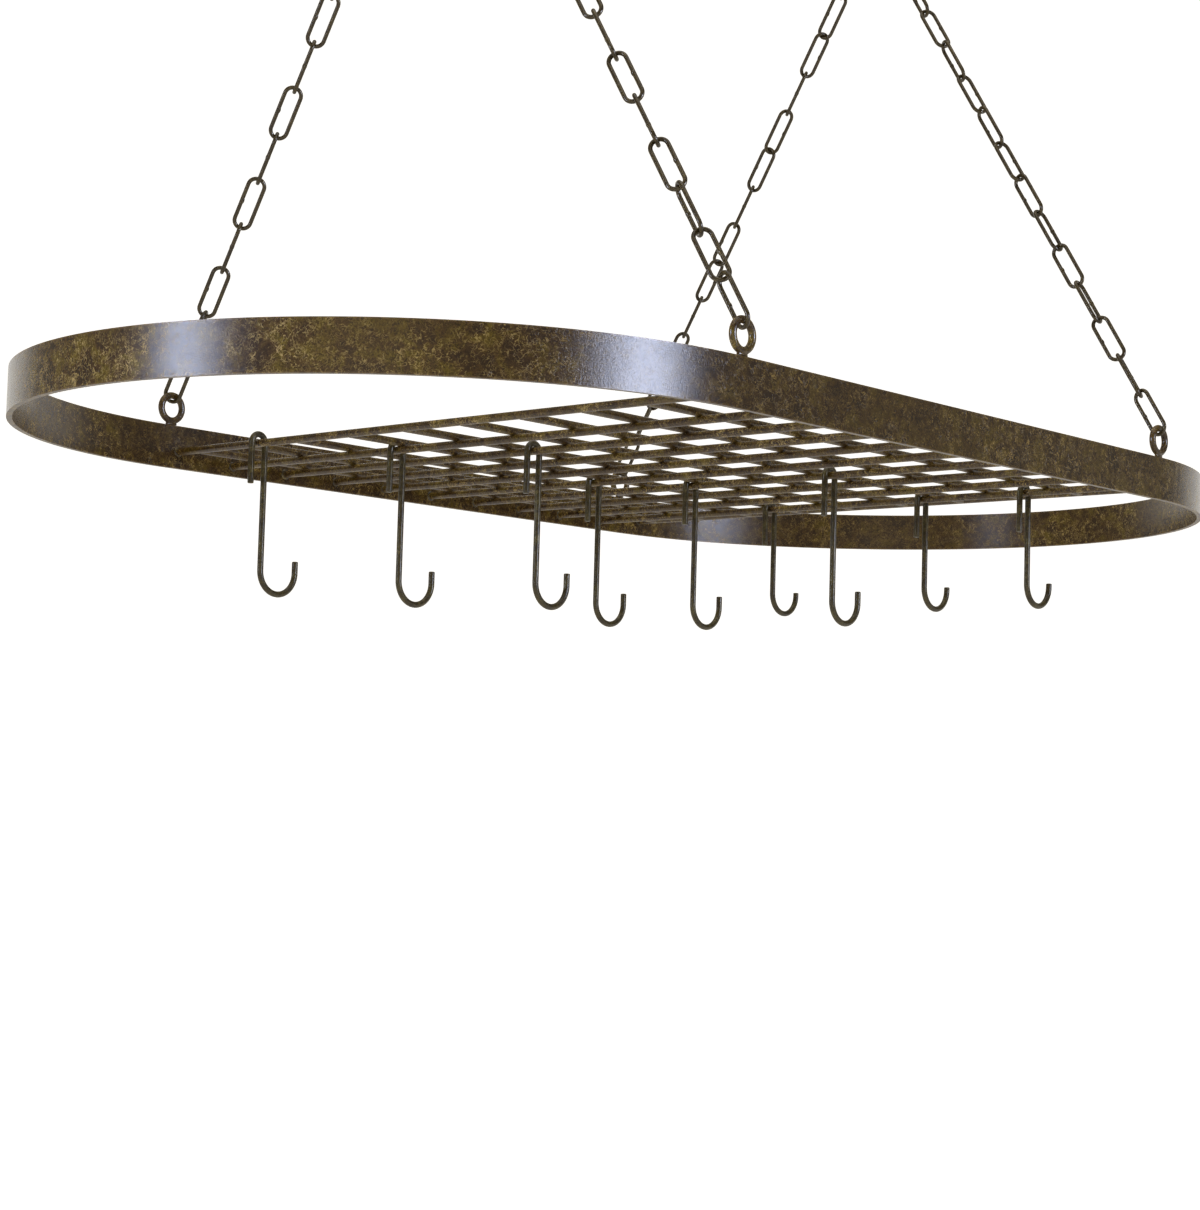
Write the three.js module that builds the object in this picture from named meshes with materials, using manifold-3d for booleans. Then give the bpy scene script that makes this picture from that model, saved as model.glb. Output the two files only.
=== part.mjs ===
// Hanging pot rack: an oval flat-bar band round a grid of rods, hung on four link chains
// from two ceiling hooks, with loose S-shaped pot hooks on its cross bars.
// Millimetres, +Z up. X runs along the rack and Y across it, front is -Y and left is -X.
// The origin lies on the ceiling, midway between the two ceiling hooks.
import * as THREE from 'three';
import { mergeVertices } from 'three/addons/utils/BufferGeometryUtils.js';
import Module from 'manifold-3d';

const wasm = await Module();
wasm.setup();

// ---------------------------------------------------------------- driving dimensions

const seatGap = 0.3; // running clearance between pieces that touch

// oval band, a flat bar on edge
const rackLength = 838;
const rackWidth = 432;
const bandHeight = 25.4;
const bandThickness = 3;

// grid of round rods
const barDiameter = 4.5;
const crossBarCount = 11;
const crossBarPitch = 42;
const crossBarRise = 6; // centre of the inner cross bars above the band's lower edge
const gridShift = 12; // middle of the grid to the right of the band's middle
const longBarCount = 10;
const longBarMargin = 18.6; // middle of the outer long bars to the inside of the band

// eye rings, welded on the band's upper edge
const ringBore = 11;
const ringWire = 4;
const ringFootLength = 9;
const ringFootHeight = 3;
const ringSink = 0.5; // how deep the ring lies in its weld foot

// chains
const linksPerChain = 15; // an odd number, so that both end links turn the same way
const linkInside = 28; // clear length inside a link
const linkWidth = 11.8; // over the wires
const linkWire = 2.4;
const linkBite = 0.3; // how far the joined links of a run are pressed into each other
const topLinkSpread = 2; // each top link's distance from the middle of its ceiling hook

// ceiling hooks
const ceilingHookWire = 5.5;
const ceilingHookBore = 20.5; // clear width inside the round bowl
const ceilingHookNeck = 6; // straight wire below the collar
const neckBendRadius = 6;
const bowlStart = 130; // degrees, where the bowl meets the neck
const bowlEnd = 390; // degrees, where the open tip ends
const collarDiameter = 20;
const collarThickness = 2.5;
const screwDiameter = 4.6;
const screwLength = 34;
const screwPoint = 8;

// pot hooks, bent from round wire
const potHookWire = 3.6;
const saddleRadius = 4.85; // of the bend that sits on the bar, to the wire's centre line
const shortLegLength = 24; // below the middle of that bend
const mouthRadius = 13; // to the wire's centre line
const longHook = { shank: 73, tipRise: 7 };
const shortHook = { shank: 55, tipRise: 2 };

// Which cross bar each pot hook hangs on, counted from the left, and which space between
// the long bars, counted from the front. shift moves it within its free room there:
// -1 is against the bar in front, 1 against the bar behind.
const potHookPlaces = [
  { bar: 0, space: 7, shift: 0.62, form: longHook },
  { bar: 1, space: 6, shift: -0.97, form: longHook },
  { bar: 2, space: 4, shift: 0.17, form: longHook },
  { bar: 5, space: 6, shift: -1, form: longHook },
  { bar: 6, space: 5, shift: -1, form: longHook },
  { bar: 9, space: 5, shift: 1, form: shortHook },
  { bar: 6, space: 2, shift: 0.37, form: longHook },
  { bar: 9, space: 3, shift: -1, form: shortHook },
  { bar: 9, space: 1, shift: -0.35, form: shortHook },
];

// facets
const rodSides = 12;
const hookSides = 8;
const linkSides = 6;
const linkBendRings = 5; // wire sections round each end of a link
const ringSegments = 16;
const screwSides = 16;
const neckSteps = 3;
const bowlSteps = 14;
const saddleSteps = 6; // round the bend that sits on the bar
const mouthSteps = 8;
const bandEndSegments = 12; // per quarter turn of the band's ends

// ---------------------------------------------------------------- derived places

const barRadius = barDiameter / 2;
const linkRadius = linkWire / 2;
const linkHalf = linkInside / 2;
const ceilingHookRadius = ceilingHookWire / 2;
const bowlRadius = ceilingHookBore / 2 + ceilingHookRadius;
const ringMidRadius = (ringBore + ringWire) / 2;
const endRadius = rackWidth / 2;
const straightHalf = rackLength / 2 - endRadius;

// The ceiling hooks and the eye rings stand where the band's straight sides end.
const hangX = straightHalf;
const ringY = (rackWidth - bandThickness) / 2;

// The neck bends away from the screw's line and runs straight to the bowl, which is
// centred under the screw.
const bowlHeading = THREE.MathUtils.degToRad(bowlStart + 90);
const neckTurn = THREE.MathUtils.degToRad(270) - bowlHeading;
const bowlEntryX = bowlRadius * Math.cos(THREE.MathUtils.degToRad(bowlStart));
const bowlEntryZ = bowlRadius * Math.sin(THREE.MathUtils.degToRad(bowlStart));
const neckBendX = -neckBendRadius * (1 - Math.cos(neckTurn));
const neckBendZ = -neckBendRadius * Math.sin(neckTurn);
const neckRun = (bowlEntryX - neckBendX) / Math.cos(bowlHeading);
const neckBottomZ = -collarThickness - ceilingHookNeck;
const bowlCentreZ = neckBottomZ + neckBendZ + neckRun * Math.sin(bowlHeading) - bowlEntryZ;

// Each top link hangs a little to one side of the bowl's lowest point.
const topSeatZ = bowlCentreZ - Math.sqrt(bowlRadius ** 2 - topLinkSpread ** 2);

// Distances along a chain, from wire centre to wire centre.
const topLinkReach = linkInside + linkRadius - ceilingHookRadius - seatGap;
const topLinkTilt = Math.asin(topLinkSpread / topLinkReach);
const runLinks = linksPerChain - 2;
const runPitch = linkInside + linkBite;
const runFirst = linkHalf - linkRadius - seatGap;
const runLast = runFirst + (runLinks - 1) * runPitch;
const ringLinkCentre = runLast + linkInside - seatGap;
const ringReach = ringLinkCentre + linkHalf - ringWire / 2 - seatGap;

// The chain's length sets how far the rack hangs below the ceiling.
const topLinkDrop = topLinkReach * Math.cos(topLinkTilt);
const chainAngle = Math.asin(ringY / (topLinkDrop + ringReach));
const elbowY = topLinkDrop * Math.sin(chainAngle);
const elbowZ = topSeatZ - topLinkDrop * Math.cos(chainAngle);
const ringTopZ = topSeatZ - (topLinkDrop + ringReach) * Math.cos(chainAngle);
const ringCentreZ = ringTopZ - ringMidRadius;
const ringLowZ = ringCentreZ - ringMidRadius - ringWire / 2;
const bandTopZ = ringLowZ - ringSink - seatGap;
const bandBottomZ = bandTopZ - bandHeight;

const crossBarZ = bandBottomZ + crossBarRise;
const longBarZ = crossBarZ + barDiameter + seatGap;
const innerHalfWidth = rackWidth / 2 - bandThickness;
const longBarPitch = (2 * (innerHalfWidth - longBarMargin)) / (longBarCount - 1);
const outerCrossBarX = ((crossBarCount - 1) / 2) * crossBarPitch;
const crossBarX = (index) => index * crossBarPitch - outerCrossBarX + gridShift;
const longBarY = (index) => (index - (longBarCount - 1) / 2) * longBarPitch;

// ---------------------------------------------------------------- finishes

const finish = (color, roughness, metalness) => ({ color, roughness, metalness });
const rackCoat = finish('#4b4028', 0.42, 0.55);
const chainCoat = finish('#463b26', 0.4, 0.65);
const potHookCoat = finish('#4a4a38', 0.45, 0.6);
const ceilingHookCoat = finish('#463b26', 0.4, 0.65);

const rack = new THREE.Group();

function addPiece(name, geometry, coat) {
  const piece = new THREE.Mesh(geometry, new THREE.MeshStandardMaterial(coat));
  piece.name = name;
  rack.add(piece);
  return piece;
}

// ---------------------------------------------------------------- joining solids

function toSolid(geometry) {
  const bare = geometry.clone();
  bare.deleteAttribute('normal');
  bare.deleteAttribute('uv');
  const merged = mergeVertices(bare, 1e-4);
  const mesh = new wasm.Mesh({
    numProp: 3,
    vertProperties: new Float32Array(merged.attributes.position.array),
    triVerts: new Uint32Array(merged.index.array),
  });
  return new wasm.Manifold(mesh);
}

function toGeometry(solid) {
  const mesh = solid.getMesh();
  const geometry = new THREE.BufferGeometry();
  geometry.setAttribute('position', new THREE.BufferAttribute(mesh.vertProperties, 3));
  geometry.setIndex(new THREE.BufferAttribute(mesh.triVerts, 1));
  geometry.computeVertexNormals();
  return geometry;
}

function join(geometries) {
  const solids = geometries.map(toSolid);
  return toGeometry(solids.reduce((whole, next) => whole.add(next)));
}

// ---------------------------------------------------------------- bent wire

// A wire's centre line: it passes straight from one point to the next, and each section
// of the wire stands square to the mean of the runs on either side.
class BentLine extends THREE.Curve {
  constructor(points) {
    super();
    this.points = points;
  }

  getPoint(t, target = new THREE.Vector3()) {
    const place = t * (this.points.length - 1);
    const index = Math.min(Math.floor(place), this.points.length - 2);
    return target.lerpVectors(this.points[index], this.points[index + 1], place - index);
  }

  getPointAt(t, target) {
    return this.getPoint(t, target);
  }

  getTangentAt(t, target = new THREE.Vector3()) {
    const last = this.points.length - 1;
    const index = Math.round(t * last);
    const here = this.points[index];
    const before = here.clone().sub(this.points[Math.max(index - 1, 0)]).normalize();
    const after = this.points[Math.min(index + 1, last)].clone().sub(here).normalize();
    return target.addVectors(before, after).normalize();
  }
}

function roundSection(radius, sides) {
  const corners = [];
  for (let side = 0; side < sides; side += 1) {
    const angle = (side / sides) * Math.PI * 2;
    corners.push(new THREE.Vector2(radius * Math.cos(angle), radius * Math.sin(angle)));
  }
  return new THREE.Shape(corners);
}

function bendWire(points, diameter, sides) {
  return new THREE.ExtrudeGeometry(roundSection(diameter / 2, sides), {
    steps: points.length - 1,
    extrudePath: new BentLine(points),
    bevelEnabled: false,
  });
}

// Points on an arc in the XZ plane, angles in degrees from +X towards +Z.
function arcPoints(centreX, centreZ, radius, from, to, steps) {
  const points = [];
  for (let step = 0; step <= steps; step += 1) {
    const angle = THREE.MathUtils.degToRad(from + ((to - from) * step) / steps);
    const x = centreX + radius * Math.cos(angle);
    const z = centreZ + radius * Math.sin(angle);
    points.push(new THREE.Vector3(x, 0, z));
  }
  return points;
}

// ---------------------------------------------------------------- oval band

// An oval with straight sides and half-round ends.
function ovalPath(PathKind, halfStraight, radius) {
  const path = new PathKind();
  path.absarc(halfStraight, 0, radius, -Math.PI / 2, Math.PI / 2, false);
  path.absarc(-halfStraight, 0, radius, Math.PI / 2, (Math.PI * 3) / 2, false);
  path.closePath();
  return path;
}

function makeBand() {
  const outline = ovalPath(THREE.Shape, straightHalf, endRadius);
  outline.holes.push(ovalPath(THREE.Path, straightHalf, endRadius - bandThickness));
  return new THREE.ExtrudeGeometry(outline, {
    depth: bandHeight,
    bevelEnabled: false,
    curveSegments: bandEndSegments,
  });
}

addPiece('band', makeBand(), rackCoat).position.z = bandBottomZ;

// ---------------------------------------------------------------- grid

// Half of the room across the band at a given place along it. The round ends are made of
// short flats, which lie a little inside the true round.
function innerHalfWidthAt(x) {
  const pastStraight = Math.max(Math.abs(x) - straightHalf, 0);
  const flatRadius = innerHalfWidth * Math.cos(Math.PI / (4 * bandEndSegments));
  return pastStraight > 0 ? Math.sqrt(flatRadius ** 2 - pastStraight ** 2) : innerHalfWidth;
}

const numbered = (name, index) => `${name}_${String(index + 1).padStart(2, '0')}`;

// The two outer cross bars are level with the long bars, which end against them. The inner
// ones lie below the long bars.
const isOuter = (index) => index === 0 || index === crossBarCount - 1;
const crossBarHeight = (index) => (isOuter(index) ? longBarZ : crossBarZ);

for (let index = 0; index < crossBarCount; index += 1) {
  const x = crossBarX(index);
  const z = crossBarHeight(index);
  const farSide = Math.abs(x) + barRadius;
  const length = 2 * (innerHalfWidthAt(farSide) - seatGap);
  const rod = new THREE.CylinderGeometry(barRadius, barRadius, length, rodSides);
  addPiece(numbered('cross_bar', index), rod, rackCoat).position.set(x, 0, z);
}

const longBarLength = 2 * (outerCrossBarX - barRadius - seatGap);
for (let index = 0; index < longBarCount; index += 1) {
  const rod = new THREE.CylinderGeometry(barRadius, barRadius, longBarLength, rodSides);
  rod.rotateZ(Math.PI / 2);
  addPiece(numbered('long_bar', index), rod, rackCoat).position.set(gridShift, longBarY(index), longBarZ);
}

// ---------------------------------------------------------------- eye rings

// A wire ring standing on edge along the band, on a small weld foot.
function makeEyeRing() {
  const ring = new THREE.TorusGeometry(ringMidRadius, ringWire / 2, hookSides, ringSegments);
  ring.rotateX(Math.PI / 2);
  const foot = new THREE.CylinderGeometry(
    ringWire / 2,
    ringFootLength / 2,
    ringFootHeight,
    rodSides,
  );
  foot.rotateX(Math.PI / 2);
  foot.scale(1, bandThickness / ringFootLength, 1);
  const footBottom = -ringMidRadius - ringWire / 2 - ringSink;
  foot.translate(0, 0, footBottom + ringFootHeight / 2);
  return join([ring, foot]);
}

const corners = [
  { name: 'front_left', alongX: -1, acrossY: -1 },
  { name: 'back_left', alongX: -1, acrossY: 1 },
  { name: 'front_right', alongX: 1, acrossY: -1 },
  { name: 'back_right', alongX: 1, acrossY: 1 },
];

const eyeRing = makeEyeRing();
for (const corner of corners) {
  const piece = addPiece(`eye_ring_${corner.name}`, eyeRing.clone(), rackCoat);
  piece.position.set(corner.alongX * hangX, corner.acrossY * ringY, ringCentreZ);
}

// ---------------------------------------------------------------- chains

// One upright link with its middle at centreZ. It is a ring whose two halves are drawn
// apart, flat in the YZ plane, or in the XZ plane when turned.
function makeLink(centreZ, turned) {
  const bendRings = 2 * linkBendRings;
  const bendRadius = (linkWidth - linkWire) / 2;
  const link = new THREE.TorusGeometry(bendRadius, linkRadius, linkSides, bendRings);
  link.rotateZ(Math.PI / bendRings);
  const stretch = linkHalf + linkRadius - bendRadius;
  const position = link.attributes.position;
  for (let index = 0; index < position.count; index += 1) {
    const y = position.getY(index);
    position.setY(index, y + Math.sign(y) * stretch);
  }
  link.rotateX(Math.PI / 2);
  if (!turned) {
    link.rotateZ(Math.PI / 2);
  }
  link.translate(0, 0, centreZ);
  return link;
}

// The top link hangs on the ceiling hook's wire, whose centre is its origin.
const topLink = makeLink(ceilingHookRadius + seatGap - linkHalf, false);

// The run hangs in the top link's lower bend. Its links stand square to each other.
function makeRun() {
  const links = [];
  for (let index = 0; index < runLinks; index += 1) {
    links.push(makeLink(-runFirst - index * runPitch, index % 2 === 0));
  }
  return join(links);
}

const chainRun = makeRun();
const ringLink = makeLink(-ringLinkCentre, false);

for (const corner of corners) {
  const lean = corner.acrossY * chainAngle;
  // The front chain's top link hangs on the right of the hook's middle, the back one's on the left.
  const spread = -corner.acrossY * topLinkSpread;

  const top = addPiece(`top_link_${corner.name}`, topLink.clone(), chainCoat);
  top.position.set(corner.alongX * hangX + spread, 0, topSeatZ);
  top.rotation.set(lean, Math.sign(spread) * topLinkTilt, 0);

  const elbow = new THREE.Vector3(corner.alongX * hangX, corner.acrossY * elbowY, elbowZ);
  const run = addPiece(`chain_${corner.name}`, chainRun.clone(), chainCoat);
  run.position.copy(elbow);
  run.rotation.x = lean;

  const last = addPiece(`ring_link_${corner.name}`, ringLink.clone(), chainCoat);
  last.position.copy(elbow);
  last.rotation.x = lean;
}

// ---------------------------------------------------------------- ceiling hooks

// Wood screw and collar, turned about the screw's axis, with the ceiling at z = 0.
function makeScrew() {
  const screwRadius = screwDiameter / 2;
  const collarRadius = collarDiameter / 2;
  const profile = [
    new THREE.Vector2(0, -collarThickness),
    new THREE.Vector2(collarRadius, -collarThickness),
    new THREE.Vector2(collarRadius, 0),
    new THREE.Vector2(screwRadius, 0),
    new THREE.Vector2(screwRadius, screwLength - screwPoint),
    new THREE.Vector2(0, screwLength),
  ];
  const screw = new THREE.LatheGeometry(profile, screwSides);
  screw.rotateX(Math.PI / 2);
  return screw;
}

function makeCeilingHook() {
  const neckCentreX = -neckBendRadius;
  const neckDegrees = THREE.MathUtils.radToDeg(neckTurn);
  const points = [
    new THREE.Vector3(0, 0, -collarThickness / 2),
    ...arcPoints(neckCentreX, neckBottomZ, neckBendRadius, 0, -neckDegrees, neckSteps),
    ...arcPoints(0, bowlCentreZ, bowlRadius, bowlStart, bowlEnd, bowlSteps),
  ];
  const wire = bendWire(points, ceilingHookWire, hookSides);
  return join([makeScrew(), wire]);
}

const ceilingHook = makeCeilingHook();
for (const side of [{ name: 'left', alongX: -1 }, { name: 'right', alongX: 1 }]) {
  const piece = addPiece(`ceiling_hook_${side.name}`, ceilingHook.clone(), ceilingHookCoat);
  piece.position.x = side.alongX * hangX;
}

// ---------------------------------------------------------------- pot hooks

// The hook's origin is the middle of the bend that sits on the bar.
function makePotHook(form) {
  const mouthX = saddleRadius + mouthRadius;
  const points = [
    new THREE.Vector3(-saddleRadius, 0, -shortLegLength),
    ...arcPoints(0, 0, saddleRadius, 180, 0, saddleSteps),
    ...arcPoints(mouthX, -form.shank, mouthRadius, 180, 360, mouthSteps),
    new THREE.Vector3(mouthX + mouthRadius, 0, form.tipRise - form.shank),
  ];
  return bendWire(points, potHookWire, hookSides);
}

// The bend is a little wider than the bar, so its middle hangs below the bar's middle.
const saddleDrop = saddleRadius - potHookWire / 2 - seatGap - barRadius;
const hookRoom = longBarPitch / 2 - barRadius - potHookWire / 2 - seatGap;
potHookPlaces.forEach((place, index) => {
  const piece = addPiece(`pot_hook_${index + 1}`, makePotHook(place.form), potHookCoat);
  const spaceMiddle = longBarY(place.space) + longBarPitch / 2;
  const y = spaceMiddle + place.shift * hookRoom;
  piece.position.set(crossBarX(place.bar), y, crossBarHeight(place.bar) - saddleDrop);
});

export default rack;
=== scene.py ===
import math

import bpy
import numpy as np
from mathutils import Matrix, Vector


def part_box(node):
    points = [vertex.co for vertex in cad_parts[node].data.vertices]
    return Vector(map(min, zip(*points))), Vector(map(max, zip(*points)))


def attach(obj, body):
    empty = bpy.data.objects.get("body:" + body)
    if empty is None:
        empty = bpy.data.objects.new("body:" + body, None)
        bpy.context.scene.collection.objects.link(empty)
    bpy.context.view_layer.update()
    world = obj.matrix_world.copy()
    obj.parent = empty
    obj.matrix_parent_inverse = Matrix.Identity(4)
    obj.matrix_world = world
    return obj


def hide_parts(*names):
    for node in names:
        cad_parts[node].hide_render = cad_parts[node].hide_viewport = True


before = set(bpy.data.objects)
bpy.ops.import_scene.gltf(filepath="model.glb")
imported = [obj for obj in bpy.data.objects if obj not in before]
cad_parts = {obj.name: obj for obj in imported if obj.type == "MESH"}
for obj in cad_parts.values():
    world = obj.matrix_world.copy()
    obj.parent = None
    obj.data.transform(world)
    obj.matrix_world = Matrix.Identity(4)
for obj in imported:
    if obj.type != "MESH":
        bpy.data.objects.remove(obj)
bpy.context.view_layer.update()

mm = 0.001
collection = bpy.context.scene.collection


# camera, at the photograph's place

cameraSettings = {
    "place": (-1085.099, -909.735, -617.414),
    "target": (-57.265, 0.0, -519.218),
    "focalPixels": 2388.83,
    "pictureHeight": 1210,
    "sensor": 36,
    "roll": 0.028,
}


def makeCamera(s):
    place, target = Vector(s["place"]) * mm, Vector(s["target"]) * mm
    ahead = (target - place).normalized()
    right = ahead.cross(Vector((0, 0, 1))).normalized()
    up = right.cross(ahead)
    cosRoll, sinRoll = math.cos(s["roll"]), math.sin(s["roll"])
    right, up = cosRoll * right + sinRoll * up, -sinRoll * right + cosRoll * up
    data = bpy.data.cameras.new("camera")
    data.sensor_width = s["sensor"]
    data.lens = s["focalPixels"] * s["sensor"] / s["pictureHeight"]
    data.clip_start, data.clip_end = 0.01, 50
    camera = bpy.data.objects.new("camera", data)
    collection.objects.link(camera)
    camera.matrix_world = Matrix((
        (right.x, up.x, -ahead.x, place.x),
        (right.y, up.y, -ahead.y, place.y),
        (right.z, up.z, -ahead.z, place.z),
        (0, 0, 0, 1),
    ))
    bpy.context.scene.camera = camera


makeCamera(cameraSettings)
bpy.context.scene.view_settings.view_transform = "Standard"
print("camera ready")


# node helpers


def addNode(tree, kind, settings=None, inputs=None):
    node = tree.nodes.new(kind)
    for key, value in (settings or {}).items():
        setattr(node, key, value)
    for key, value in (inputs or {}).items():
        if isinstance(value, bpy.types.NodeSocket):
            tree.links.new(value, node.inputs[key])
        else:
            node.inputs[key].default_value = value
    return node


def calc(tree, operation, first, second=0.0):
    node = addNode(tree, "ShaderNodeMath", {"operation": operation}, {0: first, 1: second})
    return node.outputs[0]


# a smooth step from 0 to 1 between two levels
def ramp(tree, value, low, high):
    node = addNode(
        tree, "ShaderNodeMapRange", {"interpolation_type": "SMOOTHSTEP"},
        {"Value": value, "From Min": low, "From Max": high},
    )
    return node.outputs["Result"]


def blendColours(tree, mask, first, second, kind="MIX"):
    node = tree.nodes.new("ShaderNodeMix")
    node.data_type = "RGBA"
    node.blend_type = kind
    for key, value in ((0, mask), (6, first), (7, second)):
        if isinstance(value, bpy.types.NodeSocket):
            tree.links.new(value, node.inputs[key])
        else:
            node.inputs[key].default_value = value
    return node.outputs[2]


# 0 to 255 as it looks on screen, to the linear value the nodes take
def paint(red, green, blue):
    def linear(v):
        v /= 255
        return v / 12.92 if v <= 0.04045 else ((v + 0.055) / 1.055) ** 2.4
    return (linear(red), linear(green), linear(blue), 1.0)


# shared surface effects


def startGroup(name, ins, outs):
    group = bpy.data.node_groups.new(name, "ShaderNodeTree")
    for label, kind, value in ins:
        socket = group.interface.new_socket(label, in_out="INPUT", socket_type="NodeSocket" + kind)
        if value is not None:
            socket.default_value = value
    for label, kind in outs:
        group.interface.new_socket(label, in_out="OUTPUT", socket_type="NodeSocket" + kind)
    return group, addNode(group, "NodeGroupInput").outputs


def noise(tree, place, size, detail=3.0, roughness=0.55, distortion=0.0):
    scale = calc(tree, "DIVIDE", 1000.0, size)  # size of a blotch in mm
    return addNode(tree, "ShaderNodeTexNoise", None, {
        "Vector": place, "Scale": scale, "Detail": detail,
        "Roughness": roughness, "Distortion": distortion,
    }).outputs["Fac"]


# thin curly hairs where a noise crosses its middle, broken into short bits by a second noise
def wisps(tree, place, size, width, keep):
    level = noise(tree, place, size, 1.0, 0.5, 1.1)
    away = calc(tree, "ABSOLUTE", calc(tree, "SUBTRACT", level, 0.5))
    line = calc(tree, "SUBTRACT", 1.0, ramp(tree, away, width * 0.4, width))
    gaps = noise(tree, place, calc(tree, "MULTIPLY", size, 1.4), 2.0, 0.6)
    return calc(tree, "MULTIPLY", line, ramp(tree, gaps, keep, keep + 0.1))


# antique coat: a brown ground with soft olive and dark clouds under thin gold and dark wisps
def makeMottle():
    g, get = startGroup("mottledCoat", [
        ("Place", "Vector", None),
        ("Ground", "Color", None), ("Olive", "Color", None),
        ("Gold", "Color", None), ("Dark", "Color", None),
        ("Olive Share", "Float", 0.6), ("Gold Share", "Float", 0.5), ("Dark Share", "Float", 0.6),
        ("Patch Size", "Float", 40.0), ("Cloud Size", "Float", 9.0), ("Wisp Size", "Float", 3.0),
        ("Smoothness", "Float", 0.36),
    ], [("Colour", "Color"), ("Roughness", "Float"), ("Height", "Float")])
    patches = noise(g, get["Place"], get["Patch Size"], 4.0, 0.6, 0.4)
    clouds = noise(g, get["Place"], get["Cloud Size"], 5.0, 0.65, 0.5)
    grains = noise(g, get["Place"], 0.9, 3.0, 0.6)
    size = get["Wisp Size"]
    rich = ramp(g, patches, 0.36, 0.62)
    # a second set crosses the first, from another part of the noise
    aside = addNode(g, "ShaderNodeMapping", None, {
        "Vector": get["Place"], "Location": (0.31, 0.17, 0.23), "Rotation": (0.5, 0.8, 0.3),
    })
    firstHairs = wisps(g, get["Place"], size, 0.034, 0.40)
    secondHairs = wisps(g, aside.outputs[0], size, 0.03, 0.44)
    hairs = calc(g, "MAXIMUM", firstHairs, secondHairs)
    # the hairs fade in small spots, and where a large patch is poor
    spots = calc(g, "MULTIPLY", ramp(g, noise(g, get["Place"], 6.0, 3.0, 0.6), 0.34, 0.62), 0.75)
    richness = calc(g, "ADD", calc(g, "MULTIPLY", rich, 0.65), 0.35)
    fade = calc(g, "MULTIPLY", calc(g, "ADD", spots, 0.25), richness)
    goldMask = calc(g, "MULTIPLY", hairs, calc(g, "MULTIPLY", fade, get["Gold Share"]))
    darkHairs = wisps(g, aside.outputs[0], calc(g, "MULTIPLY", size, 0.8), 0.045, 0.38)
    darkPatch = calc(g, "SUBTRACT", 1.0, ramp(g, clouds, 0.36, 0.52))
    darkPatch = calc(g, "MULTIPLY", darkPatch, 0.7)
    darkMask = calc(g, "MAXIMUM", darkPatch, calc(g, "MULTIPLY", darkHairs, 0.8))
    darkMask = calc(g, "MULTIPLY", darkMask, get["Dark Share"])
    oliveMask = calc(g, "MULTIPLY", ramp(g, clouds, 0.46, 0.64), get["Olive Share"])
    oliveMask = calc(g, "MULTIPLY", oliveMask, calc(g, "ADD", calc(g, "MULTIPLY", rich, 0.6), 0.4))
    colour = blendColours(g, oliveMask, get["Ground"], get["Olive"])
    colour = blendColours(g, darkMask, colour, get["Dark"])
    colour = blendColours(g, goldMask, colour, get["Gold"])
    shade = addNode(g, "ShaderNodeMapRange", None, {
        "Value": grains, "From Min": 0.3, "From Max": 0.7, "To Min": 0.6, "To Max": 1.4,
    }).outputs["Result"]
    grey = addNode(g, "ShaderNodeCombineColor", None, {"Red": shade, "Green": shade, "Blue": shade})
    colour = blendColours(g, 1.0, colour, grey.outputs["Color"], "MULTIPLY")
    rough = calc(g, "ADD", get["Smoothness"], calc(g, "MULTIPLY", clouds, 0.08))
    rough = calc(g, "ADD", rough, calc(g, "MULTIPLY", darkMask, 0.04))
    height = calc(g, "ADD", calc(g, "MULTIPLY", goldMask, 0.3), calc(g, "MULTIPLY", grains, 0.7))
    addNode(g, "NodeGroupOutput", None, {"Colour": colour, "Roughness": rough, "Height": height})
    return g


# the coat rubbed thin on sharp edges and painted paler there, partly wear and partly a painted
# highlight, broken up so that it isn't an even line, and left rough and dusty underneath
def makeEdgeWearAndSheen():
    g, get = startGroup("wornAndSheenEdges", [
        ("Place", "Vector", None), ("Sharpness", "Float", 0.0),
        ("Colour", "Color", None), ("Worn Edge And Sheen", "Color", None),
        ("Roughness", "Float", 0.4), ("Amount", "Float", 0.6),
        ("Facing", "Vector", None), ("Underside", "Float", 0.0),
    ], [("Colour", "Color"), ("Roughness", "Float")])
    breaks = noise(g, get["Place"], 5.0, 4.0, 0.6, 0.5)
    mask = calc(g, "MULTIPLY", ramp(g, get["Sharpness"], 0.55, 1.0), ramp(g, breaks, 0.32, 0.58))
    mask = calc(g, "MULTIPLY", mask, get["Amount"])
    # paler edges: worn coat, and also a painted highlight along the edges that catch light
    colour = blendColours(g, mask, get["Colour"], get["Worn Edge And Sheen"])
    rough = calc(g, "SUBTRACT", get["Roughness"], calc(g, "MULTIPLY", mask, 0.04))
    facing = addNode(g, "ShaderNodeSeparateXYZ", None, {"Vector": get["Facing"]})
    under = ramp(g, calc(g, "MULTIPLY", facing.outputs["Z"], -1.0), 0.15, 0.75)
    rough = calc(g, "ADD", rough, calc(g, "MULTIPLY", under, get["Underside"]))
    addNode(g, "NodeGroupOutput", None, {"Colour": colour, "Roughness": rough})
    return g


mottle, edgeWearAndSheenGroup = makeMottle(), makeEdgeWearAndSheen()


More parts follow.
